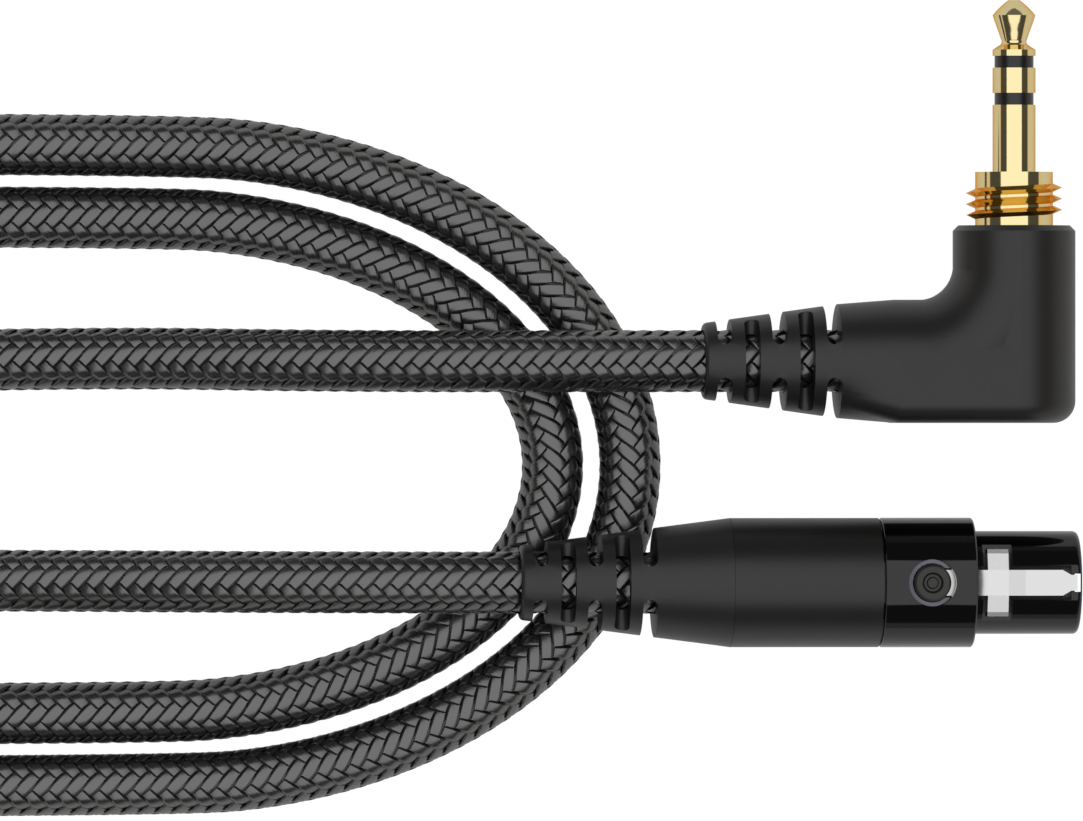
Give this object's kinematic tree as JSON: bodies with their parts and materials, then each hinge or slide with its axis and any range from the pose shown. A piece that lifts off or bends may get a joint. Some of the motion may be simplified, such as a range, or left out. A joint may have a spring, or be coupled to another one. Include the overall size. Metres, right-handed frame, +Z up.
{
  "type": "detachable headphone lead",
  "caption": "Braided headphone lead wound in long loops, with a right-angle threaded jack plug and a miniature locking connector with a push button.",
  "frame": {"origin": "on the table, under the middle of the box round the plug and the connector", "axes": "+Z up from the table, +Y the way the plug's pin points, +X out of the connector's nose"},
  "size_m": [0.208, 0.0666, 0.0136],
  "materials": {
    "gold_contact": "polished gold plating",
    "black_band": "gloss",
    "tinned_brass": "satin tin plating",
    "washer_plastic": "matt",
    "housing_plastic": "matt",
    "soft_black": "fine matt",
    "ground_wire": "satin",
    "right_wire": "satin",
    "left_wire": "satin",
    "braid": "woven, slightly glossy strands",
    "gloss_black_shell": "high gloss",
    "satin_black_sleeve": "satin",
    "latch_steel": "fine satin nickel",
    "black_button": "satin",
    "spring_steel": "bright",
    "guide_plastic": "matt"
  },
  "bodies": {
    "lead": {"jack_tip": "gold_contact", "tip_insulator": "black_band", "jack_ring": "gold_contact", "ring_insulator": "black_band", "jack_sleeve": "gold_contact", "sleeve_tag": "tinned_brass", "ring_washer": "washer_plastic", "ring_tag": "tinned_brass", "tip_washer": "washer_plastic", "tip_tag": "tinned_brass", "plug_housing": "housing_plastic", "elbow_cover": "soft_black", "plug_wire_ground": "ground_wire", "plug_wire_right": "right_wire", "plug_wire_left": "left_wire", "plug_lead": "braid", "cable_coil": "braid", "connector_lead": "braid", "connector_shell": "gloss_black_shell", "connector_insert": "housing_plastic", "contact_1": "gold_contact", "contact_2": "gold_contact", "contact_3": "gold_contact", "button_guide": "guide_plastic", "button_spring": "spring_steel", "connector_sleeve": "satin_black_sleeve", "connector_boot": "soft_black", "cable_clamp": "tinned_brass", "connector_wire_1": "ground_wire", "connector_wire_2": "right_wire", "connector_wire_3": "left_wire"},
    "latch_arm": {"latch": "latch_steel"},
    "release_button": {"button": "black_button"}
  },
  "joints": [
    {"name": "button_press", "type": "slide", "parent": "lead", "child": "release_button", "axis": [-0.0872, 0, -0.9962], "range_m": [0, 0.0006], "stiffness_N_per_m": 400, "springref_m": -0.002, "deforming": ["button_spring"]},
    {"name": "latch_pivot", "type": "hinge", "parent": "lead", "child": "latch_arm", "pos_m": [0.02232, -0.02107, 0.00962], "axis": [0, -1, 0], "range_deg": [0, 2.94]}
  ],
  "couplings": [
    {"joint": "latch_pivot", "follows": "button_press", "rad_per_m": 85.616}
  ]
}
